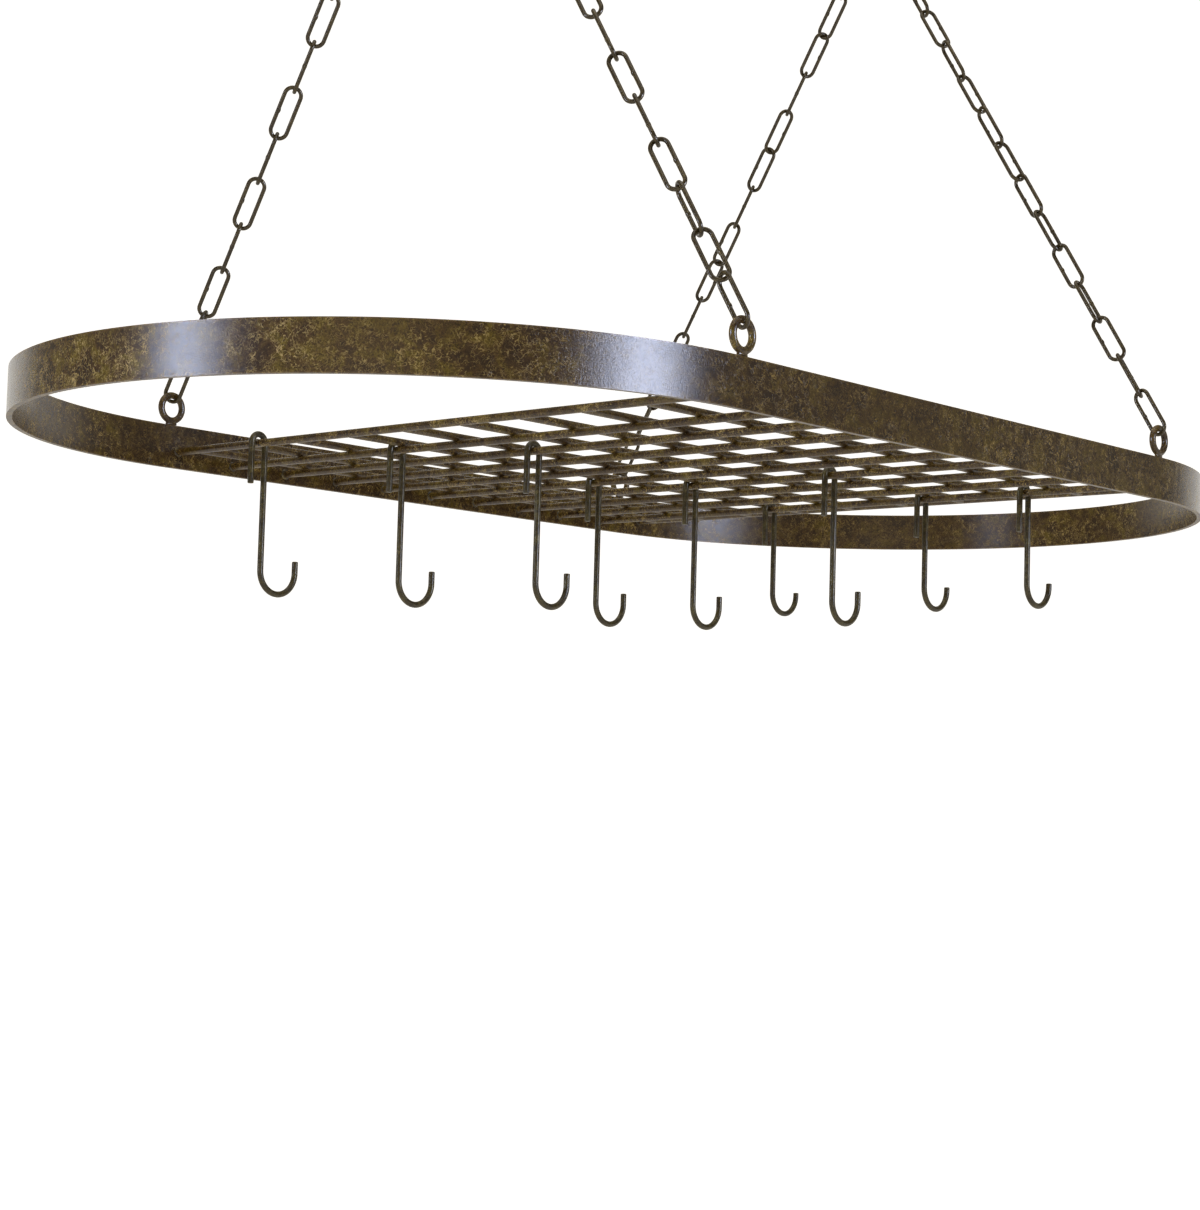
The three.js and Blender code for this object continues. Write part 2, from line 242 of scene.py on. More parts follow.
def makeCoat(name, s):
    material = bpy.data.materials.new(name)
    material.use_nodes = True
    tree = material.node_tree
    shader = tree.nodes["Principled BSDF"]
    source = addNode(tree, "ShaderNodeTexCoord").outputs
    place = source["Object"]
    coat = addNode(tree, "ShaderNodeGroup", {"node_tree": mottle}, {
        "Place": place, "Ground": s["ground"], "Olive": s["olive"], "Gold": s["gold"],
        "Dark": s["dark"], "Olive Share": s["shares"][0], "Gold Share": s["shares"][1],
        "Dark Share": s["shares"][2], "Patch Size": s["sizes"][0], "Cloud Size": s["sizes"][1],
        "Wisp Size": s["sizes"][2], "Smoothness": s["smoothness"],
    })
    sharp = addNode(tree, "ShaderNodeAttribute", {"attribute_name": "sharpness"})
    # sharp edges turn paler, partly as wear and partly as a painted highlight
    edgeWearAndSheen = addNode(tree, "ShaderNodeGroup", {"node_tree": edgeWearAndSheenGroup}, {
        "Place": place, "Sharpness": sharp.outputs["Fac"], "Colour": coat.outputs["Colour"],
        "Worn Edge And Sheen": s["edgeWearAndSheen"], "Roughness": coat.outputs["Roughness"], "Amount": s["edgeWearAndSheenAmount"],
        "Facing": source["Normal"], "Underside": s["underside"],
    })
    bump = addNode(tree, "ShaderNodeBump", None, {
        "Height": coat.outputs["Height"], "Strength": s["bump"], "Distance": 0.0002,
    })
    tree.links.new(edgeWearAndSheen.outputs["Colour"], shader.inputs["Base Color"])
    tree.links.new(edgeWearAndSheen.outputs["Roughness"], shader.inputs["Roughness"])
    tree.links.new(bump.outputs["Normal"], shader.inputs["Normal"])
    shader.inputs["Specular IOR Level"].default_value = s["specular"]
    shader.inputs["Metallic"].default_value = s["metallic"]
    return material


# the rack's paler edge colour is partly wear and partly a painted highlight along the band's edges
rackCoat = makeCoat("antiqueRackCoat", {
    "ground": paint(73, 54, 28), "olive": paint(98, 82, 26), "gold": paint(172, 146, 86),
    "dark": paint(33, 22, 14), "edgeWearAndSheen": paint(150, 126, 90),
    "shares": (0.95, 0.9, 0.9), "sizes": (60, 11, 3.0), "underside": 0.22,
    "smoothness": 0.16, "edgeWearAndSheenAmount": 0.35, "bump": 0.6, "specular": 0.3, "metallic": 0.0,
})
chainCoat = makeCoat("bronzeChainCoat", {
    "ground": paint(62, 51, 28), "olive": paint(82, 71, 40), "gold": paint(116, 100, 58),
    "dark": paint(34, 26, 16), "edgeWearAndSheen": paint(142, 124, 92),
    "shares": (0.6, 0.5, 0.7), "sizes": (14, 5, 2.0), "underside": 0.2,
    "smoothness": 0.18, "edgeWearAndSheenAmount": 0.4, "bump": 0.25, "specular": 0.4, "metallic": 0.2,
})
potHookCoat = makeCoat("greyOliveHookCoat", {
    "ground": paint(66, 57, 33), "olive": paint(88, 80, 46), "gold": paint(130, 120, 74),
    "dark": paint(34, 27, 18), "edgeWearAndSheen": paint(112, 108, 86),
    "shares": (0.7, 0.5, 0.7), "sizes": (30, 6, 2.2), "underside": 0.2,
    "smoothness": 0.24, "edgeWearAndSheenAmount": 0.4, "bump": 0.25, "specular": 0.3, "metallic": 0.1,
})
ceilingHookCoat = makeCoat("bronzeCeilingHookCoat", {
    "ground": paint(64, 53, 31), "olive": paint(84, 73, 42), "gold": paint(116, 100, 58),
    "dark": paint(34, 27, 18), "edgeWearAndSheen": paint(146, 128, 98),
    "shares": (0.6, 0.5, 0.7), "sizes": (18, 6, 2.4), "underside": 0.2,
    "smoothness": 0.22, "edgeWearAndSheenAmount": 0.6, "bump": 0.3, "specular": 0.35, "metallic": 0.1,
})
weldCoat = makeCoat("weldCoat", {
    "ground": paint(48, 37, 20), "olive": paint(74, 62, 28), "gold": paint(170, 150, 84),
    "dark": paint(26, 19, 12), "edgeWearAndSheen": paint(120, 104, 66),
    "shares": (0.6, 0.8, 0.8), "sizes": (8, 3, 1.6), "underside": 0.3,
    "smoothness": 0.2, "edgeWearAndSheenAmount": 0.4, "bump": 0.6, "specular": 0.4, "metallic": 0.0,
})
screwSteel = makeCoat("screwSteel", {
    "ground": paint(120, 108, 80), "olive": paint(134, 120, 84), "gold": paint(160, 146, 108),
    "dark": paint(84, 74, 56), "edgeWearAndSheen": paint(180, 170, 146),
    "shares": (0.5, 0.5, 0.5), "sizes": (9, 3, 1.6), "underside": 0.0,
    "smoothness": 0.24, "edgeWearAndSheenAmount": 0.6, "bump": 0.2, "specular": 0.5, "metallic": 0.8,
})
print("coats ready")


# shape helpers


def startTree(name, sizes):
    tree = bpy.data.node_groups.new(name, "GeometryNodeTree")
    tree.is_modifier = True
    face = tree.interface
    face.new_socket("Geometry", in_out="INPUT", socket_type="NodeSocketGeometry")
    for label, kind in sizes:
        face.new_socket(label, in_out="INPUT", socket_type="NodeSocket" + kind)
    face.new_socket("Coat", in_out="INPUT", socket_type="NodeSocketMaterial")
    face.new_socket("Geometry", in_out="OUTPUT", socket_type="NodeSocketGeometry")
    return tree, addNode(tree, "NodeGroupInput").outputs


def endTree(tree, get, geometry):
    real = addNode(tree, "GeometryNodeRealizeInstances", None, {"Geometry": geometry})
    smooth = addNode(tree, "GeometryNodeSetShadeSmooth", None, {"Geometry": real.outputs[0]})
    coated = addNode(tree, "GeometryNodeSetMaterial", None, {
        "Geometry": smooth.outputs[0], "Material": get["Coat"],
    })
    addNode(tree, "NodeGroupOutput", None, {"Geometry": coated.outputs[0]})
    return tree


# a mesh of bare points or paths, with values stored on its points
def pointMesh(name, points, edges=(), **values):
    mesh = bpy.data.meshes.new(name)
    mesh.from_pydata([tuple(p) for p in points], list(edges), [])
    for label, numbers in values.items():
        mesh.attributes.new(label, "FLOAT", "POINT").data.foreach_set("value", list(numbers))
    return mesh


def growPiece(name, tree, base, coat, sizes, bevel=0.0, remesh=0.0):
    carrier = bpy.data.objects.new(name + "Carrier", base)
    collection.objects.link(carrier)
    modifier = carrier.modifiers.new("build", "NODES")
    modifier.node_group = tree
    wanted = dict(sizes, Coat=coat)
    for item in tree.interface.items_tree:
        if item.item_type == "SOCKET" and item.in_out == "INPUT" and item.name in wanted:
            modifier[item.identifier] = wanted[item.name]
    if remesh:
        melt = carrier.modifiers.new("melt", "REMESH")
        melt.mode, melt.voxel_size, melt.use_smooth_shade = "VOXEL", remesh, True
        soften = carrier.modifiers.new("soften", "SMOOTH")
        soften.factor, soften.iterations = 0.5, 8
    if bevel:
        edge = carrier.modifiers.new("edge", "BEVEL")
        edge.width, edge.segments, edge.limit_method = bevel, 3, "ANGLE"
        edge.angle_limit = math.radians(40)
        edge.harden_normals = True
    graph = bpy.context.evaluated_depsgraph_get()
    mesh = bpy.data.meshes.new_from_object(carrier.evaluated_get(graph))
    mesh.name = name
    bpy.data.objects.remove(carrier)
    mesh.materials.clear()
    mesh.materials.append(coat)
    return placePiece(name, mesh)


def placePiece(name, mesh):
    piece = bpy.data.objects.new(name, mesh)
    collection.objects.link(piece)
    markSharpness(mesh)
    return piece


# stores how sharply each point bulges, 0 below the first curvature per metre, 1 above the second
def markSharpness(mesh, low=600.0, high=1800.0):
    count = len(mesh.vertices)
    place = np.empty(count * 3)
    mesh.vertices.foreach_get("co", place)
    place = place.reshape(-1, 3)
    normal = np.empty(count * 3)
    mesh.vertices.foreach_get("normal", normal)
    normal = normal.reshape(-1, 3)
    ends = np.empty(len(mesh.edges) * 2, int)
    mesh.edges.foreach_get("vertices", ends)
    a, b = ends.reshape(-1, 2).T
    step = place[b] - place[a]
    squared = np.maximum((step ** 2).sum(1), 1e-12)
    bulge = np.zeros(count)
    np.maximum.at(bulge, a, -2 * (normal[a] * step).sum(1) / squared)
    np.maximum.at(bulge, b, 2 * (normal[b] * step).sum(1) / squared)
    level = np.clip((bulge - low) / (high - low), 0, 1)
    store = mesh.attributes.get("sharpness") or mesh.attributes.new("sharpness", "FLOAT", "POINT")
    store.data.foreach_set("value", level.astype(np.float32))


def finishPiece(piece, body, slot, *nodes):
    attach(piece, body)
    if nodes:
        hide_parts(*nodes)


def numbered(name, count):
    return [f"{name}_{index + 1:02d}" for index in range(count)]


def straightRun(start, end, steps):
    return [Vector(start).lerp(Vector(end), i / steps) for i in range(steps + 1)]


# an arc in the XZ plane, angles in degrees from X towards Z
def arc(centreX, centreZ, radius, start, end, steps):
    angles = [math.radians(start + (end - start) * i / steps) for i in range(steps + 1)]
    return [
        Vector((centreX + radius * math.cos(a), 0, centreZ + radius * math.sin(a))) for a in angles
    ]


# a path of round wire, closed or with its cut ends rounded over
def wirePaths(name, paths, radius, rounding=0.0, closed=False):
    points, edges, girths = [], [], []
    for path in paths:
        path = [Vector(p) for p in path]
        girth = [1.0] * len(path)
        if rounding and not closed:
            for _ in range(2):
                end, before = path[0], path[1]
                inward = (before - end).normalized()
                steps = [math.radians(a) for a in (90, 65, 40, 18, 0)]
                tip = [end + inward * rounding * (1 - math.sin(a)) for a in steps]
                slim = [(radius - rounding * (1 - math.cos(a))) / radius for a in steps]
                path, girth = tip + path[1:], slim + girth[1:]
                path.reverse()
                girth.reverse()
        first = len(points)
        points += path
        girths += girth
        edges += [(first + i, first + i + 1) for i in range(len(path) - 1)]
        if closed:
            edges.append((len(points) - 1, first))
    return pointMesh(name, points, edges, girth=girths)


# round wire along every path of the base mesh
def makeWireTree():
    tree, get = startTree("roundWire", [("Wire Radius", "Float"), ("Sides", "Int")])
    girth = addNode(
        tree, "GeometryNodeInputNamedAttribute", {"data_type": "FLOAT"}, {"Name": "girth"},
    )
    path = addNode(tree, "GeometryNodeMeshToCurve", None, {"Mesh": get["Geometry"]})
    section = addNode(tree, "GeometryNodeCurvePrimitiveCircle", None, {
        "Resolution": get["Sides"], "Radius": get["Wire Radius"],
    })
    wire = addNode(tree, "GeometryNodeCurveToMesh", None, {
        "Curve": path.outputs[0], "Profile Curve": section.outputs[0],
        "Scale": girth.outputs[0], "Fill Caps": True,
    })
    return endTree(tree, get, wire.outputs[0])


wireTree = makeWireTree()


# the oval band, a flat bar on edge

bandLow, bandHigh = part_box("band")
band = {
    "Length": bandHigh.x - bandLow.x,
    "Width": bandHigh.y - bandLow.y,
    "Height": bandHigh.z - bandLow.z,
    "Thickness": 3.0 * mm,
    "Bottom": bandLow.z,
    "End Steps": 90,
    "Cuts": 9,
}
bandEdge = 0.45 * mm


def makeBandTree():
    tree, get = startTree("flatBarOval", [
        ("Length", "Float"), ("Width", "Float"), ("Height", "Float"),
        ("Thickness", "Float"), ("Bottom", "Float"), ("End Steps", "Int"), ("Cuts", "Int"),
    ])
    long = calc(tree, "SUBTRACT", get["Length"], get["Thickness"])
    wide = calc(tree, "SUBTRACT", get["Width"], get["Thickness"])
    oval = addNode(tree, "GeometryNodeCurvePrimitiveQuadrilateral", None, {
        "Width": long, "Height": wide,
    })
    ends = addNode(tree, "GeometryNodeFilletCurve", {"mode": "POLY"}, {
        "Curve": oval.outputs[0], "Count": get["End Steps"],
        "Radius": calc(tree, "MULTIPLY", wide, 0.49999), "Limit Radius": True,
    })
    upright = addNode(
        tree, "GeometryNodeSetCurveNormal", {"mode": "Z_UP"}, {"Curve": ends.outputs[0]},
    )
    bar = addNode(tree, "GeometryNodeCurvePrimitiveQuadrilateral", None, {
        "Width": get["Thickness"], "Height": get["Height"],
    })
    # points inside the flats keep the paler edges narrow, which are partly worn coat and partly a
    # painted highlight
    split = addNode(tree, "GeometryNodeSubdivideCurve", None, {
        "Curve": bar.outputs[0], "Cuts": get["Cuts"],
    })
    swept = addNode(tree, "GeometryNodeCurveToMesh", None, {
        "Curve": upright.outputs[0], "Profile Curve": split.outputs[0],
    })
    middle = calc(tree, "ADD", get["Bottom"], calc(tree, "MULTIPLY", get["Height"], 0.5))
    lift = addNode(tree, "ShaderNodeCombineXYZ", None, {"Z": middle})
    raised = addNode(tree, "GeometryNodeTransform", None, {
        "Geometry": swept.outputs[0], "Translation": lift.outputs[0],
    })
    return endTree(tree, get, raised.outputs[0])


bandSeed = pointMesh("bandSeed", [(0, 0, 0)])
bandPiece = growPiece("ovalBand", makeBandTree(), bandSeed, rackCoat, band, bevel=bandEdge)
finishPiece(bandPiece, "rack", "rack_coat", "band")
print("band ready")


# the grid of rods

crossNames, longNames = numbered("cross_bar", 11), numbered("long_bar", 10)


def middleOf(node):
    low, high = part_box(node)
    return (low + high) / 2


rods = {
    "radius": (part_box("long_bar_01")[1].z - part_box("long_bar_01")[0].z) / 2,
    "sides": 20,
    "steps": 40,
    "weldDepth": 0.8 * mm,  # how far a rod's end runs into what it is welded to
    "sink": 0.9 * mm,  # how far the upper rods are pressed down into the lower ones
}
endRadius = band["Width"] / 2
straightHalf = band["Length"] / 2 - endRadius
insideRadius = endRadius - band["Thickness"]


# half of the band's inside width at a place along it, less where the ends curve in
def insideHalfWidth(x):
    past = max(abs(x) - straightHalf, 0)
    return math.sqrt(insideRadius ** 2 - past ** 2)


lowerRods = middleOf(crossNames[1]).z


# the middle of a rod, sunk if it is one of the upper ones
def rodMiddle(name):
    centre = middleOf(name)
    if centre.z > lowerRods + rods["radius"]:
        centre.z -= rods["sink"]
    return centre


crossPaths, longPaths = [], []
for name in crossNames:
    centre = rodMiddle(name)
    reach = insideHalfWidth(centre.x) + rods["weldDepth"]
    start, end = (centre.x, -reach, centre.z), (centre.x, reach, centre.z)
    crossPaths.append(straightRun(start, end, rods["steps"]))
for name in longNames:
    low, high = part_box(name)
    centre = rodMiddle(name)
    left, right = low.x - rods["weldDepth"], high.x + rods["weldDepth"]
    start, end = (left, centre.y, centre.z), (right, centre.y, centre.z)
    longPaths.append(straightRun(start, end, rods["steps"]))

rodSizes = {"Wire Radius": rods["radius"], "Sides": rods["sides"]}
for pieceName, paths, nodes in (
    ("crossRods", crossPaths, crossNames),
    ("longRods", longPaths, longNames),
):
    base = wirePaths(pieceName + "Paths", paths, rods["radius"])
    finishPiece(growPiece(pieceName, wireTree, base, rackCoat, rodSizes), "rack", "rack_coat", *nodes)
print("rods ready")


# welds

welds = {
    "band": {
        "Bead Size": (3.1 * mm, 1.2 * mm, 3.1 * mm), "Smoothing": 4, "Lumps": 0.35, "Seed": 7,
    },
    "crossing": {
        "Bead Size": (1.8 * mm, 1.8 * mm, 0.8 * mm), "Smoothing": 2, "Lumps": 0.25, "Seed": 27,
    },
}


# lumpy beads on points; each point turns and swells its bead a little by chance
def makeBeadTree():
    tree, get = startTree("weldBeads", [
        ("Bead Size", "Vector"), ("Smoothing", "Int"), ("Lumps", "Float"), ("Seed", "Int"),
    ])
    ball = addNode(tree, "GeometryNodeMeshIcoSphere", None, {
        "Radius": 1.0, "Subdivisions": get["Smoothing"],
    })
    lumps = addNode(tree, "ShaderNodeTexNoise", None, {"Scale": 2.2, "Detail": 2.0})
    grow = calc(tree, "MULTIPLY", calc(tree, "SUBTRACT", lumps.outputs["Fac"], 0.5), get["Lumps"])
    outward = addNode(tree, "GeometryNodeInputNormal")
    push = addNode(tree, "ShaderNodeVectorMath", {"operation": "SCALE"}, {
        "Vector": outward.outputs[0], "Scale": grow,
    })
    lumpy = addNode(tree, "GeometryNodeSetPosition", None, {
        "Geometry": ball.outputs[0], "Offset": push.outputs[0],
    })
    spin = addNode(tree, "FunctionNodeRandomValue", {"data_type": "FLOAT"}, {"Seed": get["Seed"]})
    for socket, value in ((2, 0.0), (3, math.tau)):
        spin.inputs[socket].default_value = value
    turn = addNode(tree, "ShaderNodeCombineXYZ", None, {"Y": spin.outputs[1]})
    swell = addNode(tree, "FunctionNodeRandomValue", {"data_type": "FLOAT"}, {
        "Seed": calc(tree, "ADD", get["Seed"], 1.0),
    })
    for socket, value in ((2, 0.85), (3, 1.1)):
        swell.inputs[socket].default_value = value
    size = addNode(tree, "ShaderNodeVectorMath", {"operation": "SCALE"}, {
        "Vector": get["Bead Size"], "Scale": swell.outputs[1],
    })
    beads = addNode(tree, "GeometryNodeInstanceOnPoints", None, {
        "Points": get["Geometry"], "Instance": lumpy.outputs[0],
        "Rotation": turn.outputs[0], "Scale": size.outputs[0],
    })
    return endTree(tree, get, beads.outputs[0])


beadTree = makeBeadTree()
bandBeadPoints, crossingPoints = [], []
for name in crossNames:
    centre = rodMiddle(name)
    for side in (-1, 1):
        bandBeadPoints.append((centre.x, side * insideHalfWidth(centre.x), centre.z))
    for other in longNames:
        along = rodMiddle(other)
        inward = 0.0
        if name in (crossNames[0], crossNames[-1]):
            inward = math.copysign(rods["radius"], along.x - centre.x)
        crossingPoints.append((centre.x + inward, along.y, (centre.z + along.z) / 2))

for pieceName, points, sizes in (
    ("bandWelds", bandBeadPoints, welds["band"]),
    ("crossingWelds", crossingPoints, welds["crossing"]),
):
    base = pointMesh(pieceName + "Points", points)
    finishPiece(growPiece(pieceName, beadTree, base, weldCoat, sizes), "rack", "rack_coat")
print("welds ready")


# eye rings on the band

rings = {
    "midRadius": 7.5 * mm,
    "wireRadius": 2.0 * mm,
    "footTop": 2.6 * mm,
    "footBottom": 4.4 * mm,
    "footHeight": 3.2 * mm,
    "footThickness": 1.5 * mm,
    "footGap": 0.5 * mm,  # from the ring's lowest point down to the middle of the foot
    "loopSteps": 96,
    "wireSides": 32,
    "footSides": 48,
    "footRows": 6,
    "voxel": 0.28 * mm,
}
corners = {"front_left": (-1, -1), "back_left": (-1, 1), "front_right": (1, -1), "back_right": (1, 1)}


# the ring's wire, and a short foot of stacked ovals that melts into it
def makeRingTree():
    tree, get = startTree("weldedRing", [
        ("Ring Radius", "Float"), ("Wire Radius", "Float"), ("Foot Top", "Float"),
        ("Foot Bottom", "Float"), ("Foot Height", "Float"), ("Foot Thickness", "Float"),
    ])
    loop = addNode(tree, "GeometryNodeCurvePrimitiveCircle", None, {
        "Resolution": rings["loopSteps"], "Radius": get["Ring Radius"],
    })
    section = addNode(tree, "GeometryNodeCurvePrimitiveCircle", None, {
        "Resolution": rings["wireSides"], "Radius": get["Wire Radius"],
    })
    wire = addNode(tree, "GeometryNodeCurveToMesh", None, {
        "Curve": loop.outputs[0], "Profile Curve": section.outputs[0],
    })
    upright = addNode(tree, "GeometryNodeTransform", None, {
        "Geometry": wire.outputs[0], "Rotation": (math.pi / 2, 0, 0),
    })
    foot = addNode(tree, "GeometryNodeMeshCone", None, {
        "Vertices": rings["footSides"], "Side Segments": rings["footRows"],
        "Radius Top": get["Foot Top"], "Radius Bottom": get["Foot Bottom"],
        "Depth": get["Foot Height"],
    })
    flat = addNode(tree, "ShaderNodeCombineXYZ", None, {
        "X": 1.0, "Z": 1.0, "Y": calc(tree, "DIVIDE", get["Foot Thickness"], get["Foot Bottom"]),
    })
    reach = calc(tree, "ADD", get["Ring Radius"], get["Wire Radius"])
    reach = calc(tree, "ADD", reach, rings["footGap"])
    drop = addNode(tree, "ShaderNodeCombineXYZ", None, {"Z": calc(tree, "MULTIPLY", reach, -1.0)})
    seated = addNode(tree, "GeometryNodeTransform", None, {
        "Geometry": foot.outputs["Mesh"], "Translation": drop.outputs[0], "Scale": flat.outputs[0],
    })
    both = addNode(tree, "GeometryNodeJoinGeometry")
    for part in (upright, seated):
        tree.links.new(part.outputs[0], both.inputs[0])
    placed = addNode(tree, "GeometryNodeInstanceOnPoints", None, {
        "Points": get["Geometry"], "Instance": both.outputs[0],
    })
    return endTree(tree, get, placed.outputs[0])


ringTree = makeRingTree()
for corner in corners:
    low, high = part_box("eye_ring_" + corner)
    centre = (low + high) / 2
    centre.z = high.z - rings["midRadius"] - rings["wireRadius"]
    ring = growPiece("eyeRing_" + corner, ringTree, pointMesh("ringPoint", [centre]), rackCoat, {
        "Ring Radius": rings["midRadius"], "Wire Radius": rings["wireRadius"],
        "Foot Top": rings["footTop"], "Foot Bottom": rings["footBottom"],
        "Foot Height": rings["footHeight"], "Foot Thickness": rings["footThickness"],
    }, remesh=rings["voxel"])
    finishPiece(ring, "rack", "rack_coat", "eye_ring_" + corner)
print("rings ready")


# ceiling hooks

ceilingHooks = {
    "wireRadius": 2.75 * mm,
    "bowlRadius": 13.0 * mm,
    "bowlStart": 130,
    "bowlEnd": 390,
    "neckRun": 6.0 * mm,
    "neckBend": 6.0 * mm,
    "collarRadius": 10.0 * mm,
    "collarThickness": 2.5 * mm,
    "collarEdge": 0.5 * mm,
    "collarSides": 72,
    "screwRadius": 2.3 * mm,
    "screwLength": 34.0 * mm,
    "screwPoint": 8.0 * mm,
    "threadPitch": 2.1 * mm,
    "threadDepth": 0.65 * mm,
    "plainShank": 7.0 * mm,
    "screwSides": 24,
    "rowsPerTurn": 8,
    "tipRounding": 1.2 * mm,
    "sides": 28,
}
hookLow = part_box("ceiling_hook_left")[0]
ceilingHooks["bowlCentre"] = hookLow.z + ceilingHooks["bowlRadius"] + ceilingHooks["wireRadius"]


def ceilingHookPath(x):
    s = ceilingHooks
    neckBottom = -s["collarThickness"] - s["neckRun"]
    turn = 180 - s["bowlStart"]
    points = straightRun((0, 0, -s["collarThickness"] / 2), (0, 0, neckBottom), 4)[:-1]
    points += arc(-s["neckBend"], neckBottom, s["neckBend"], 0, -turn, 10)
    points += arc(0, s["bowlCentre"], s["bowlRadius"], s["bowlStart"], s["bowlEnd"], 56)
    return [p + Vector((x, 0, 0)) for p in points]


# turns layers of points, each a closed ring, into a closed skin
def ringSkin(name, layers, coat):
    count = len(layers[0])
    points = [p for layer in layers for p in layer]
    faces = [tuple(range(count))[::-1], tuple(range(len(points) - count, len(points)))]
    for row in range(len(layers) - 1):
        for i in range(count):
            j = (i + 1) % count
            low, high = row * count, (row + 1) * count
            faces.append((low + i, low + j, high + j, high + i))
    mesh = bpy.data.meshes.new(name)
    mesh.from_pydata(points, [], faces)
    mesh.materials.append(coat)
    mesh.shade_smooth()
    return mesh


def roundRing(x, z, radii):
    turns = [math.tau * i / len(radii) for i in range(len(radii))]
    return [(x + r * math.cos(a), r * math.sin(a), z) for r, a in zip(radii, turns)]


def collarMesh(x):
    s = ceilingHooks
    wide, low, edge = s["collarRadius"], -s["collarThickness"], s["collarEdge"]
    profile = [(wide * 0.45, low), (wide * 0.8, low), (wide - edge, low)]
    for i in range(1, 5):
        a = math.pi / 2 * i / 4
        profile.append((wide - edge + edge * math.sin(a), low + edge - edge * math.cos(a)))
    profile += [(wide, low / 2), (wide, -edge / 2), (wide - edge / 2, 0)]
    profile += [(wide * 0.8, 0), (wide * 0.4, 0)]
    layers = [roundRing(x, z, [r] * s["collarSides"]) for r, z in profile]
    return ringSkin("collar", layers, ceilingHookCoat)


# wood screw: a plain shank below, then a thread that runs out at the point
def screwMesh(x):
    s = ceilingHooks
    sides, layers = s["screwSides"], []
    rows = round(s["screwLength"] / (s["threadPitch"] / s["rowsPerTurn"]))
    for row in range(rows + 1):
        z = s["screwLength"] * row / rows
        slim = min(1, (s["screwLength"] - z) / s["screwPoint"] + 0.03)
        cut = min(1, max(0, (z - s["plainShank"]) / s["threadPitch"]))
        radii = []
        for i in range(sides):
            phase = (z / s["threadPitch"] - i / sides) % 1
            groove = min(1, 2.6 * min(phase, 1 - phase))
            radii.append((s["screwRadius"] - s["threadDepth"] * groove * cut) * slim)
        layers.append(roundRing(x, z, radii))
    return ringSkin("screw", layers, screwSteel)


for side, alongX in (("left", -1), ("right", 1)):
    node = "ceiling_hook_" + side
    x = alongX * straightHalf
    path = wirePaths(
        node + "Path", [ceilingHookPath(x)], ceilingHooks["wireRadius"], ceilingHooks["tipRounding"],
    )
    hook = growPiece("ceilingHook_" + side, wireTree, path, ceilingHookCoat, {
        "Wire Radius": ceilingHooks["wireRadius"], "Sides": ceilingHooks["sides"],
    })
    finishPiece(hook, "ceiling", "ceiling_hook_coat", node)
    finishPiece(placePiece("ceilingCollar_" + side, collarMesh(x)), "ceiling", "ceiling_hook_coat")
    finishPiece(placePiece("ceilingScrew_" + side, screwMesh(x)), "ceiling", "ceiling_hook_coat")
print("ceiling hooks ready")


# chains

chains = {
    "inside": 28.3 * mm,
    "width": 11.8 * mm,
    "wire": 2.4 * mm,
    "run": 13,
    "pitch": 28.3 * mm,
    "first": 12.5 * mm,
    "lastStep": 27.7 * mm,
    "topInside": 28.0 * mm,
    "topSpread": 2.0 * mm,
    "seat": 0.3 * mm,
    "sides": 14,
    "bendSteps": 8,
    "weldSwell": 1.16,
}
# how far each link is twisted out of its square stand, in degrees, the topmost of the run first
linkTurns = {
    "back_left": [8, 18, 28, 38, 46, 51, 51, 51, 51, 51, 51, 48, 40, 30],
    "front_left": [-8, -16, -26, -36, -46, -56, -61, -61, -61, -61, -58, -40, -43, -20],
    "back_right": [30, 10, -20, -50, -20, 10, 40, 10, -20, -50, -20, 10, 35, 5],
    "front_right": [-20, -36, -28, -39, -20, -28, -20, -16, -6, 3, 4, 21, 16, -11],
}


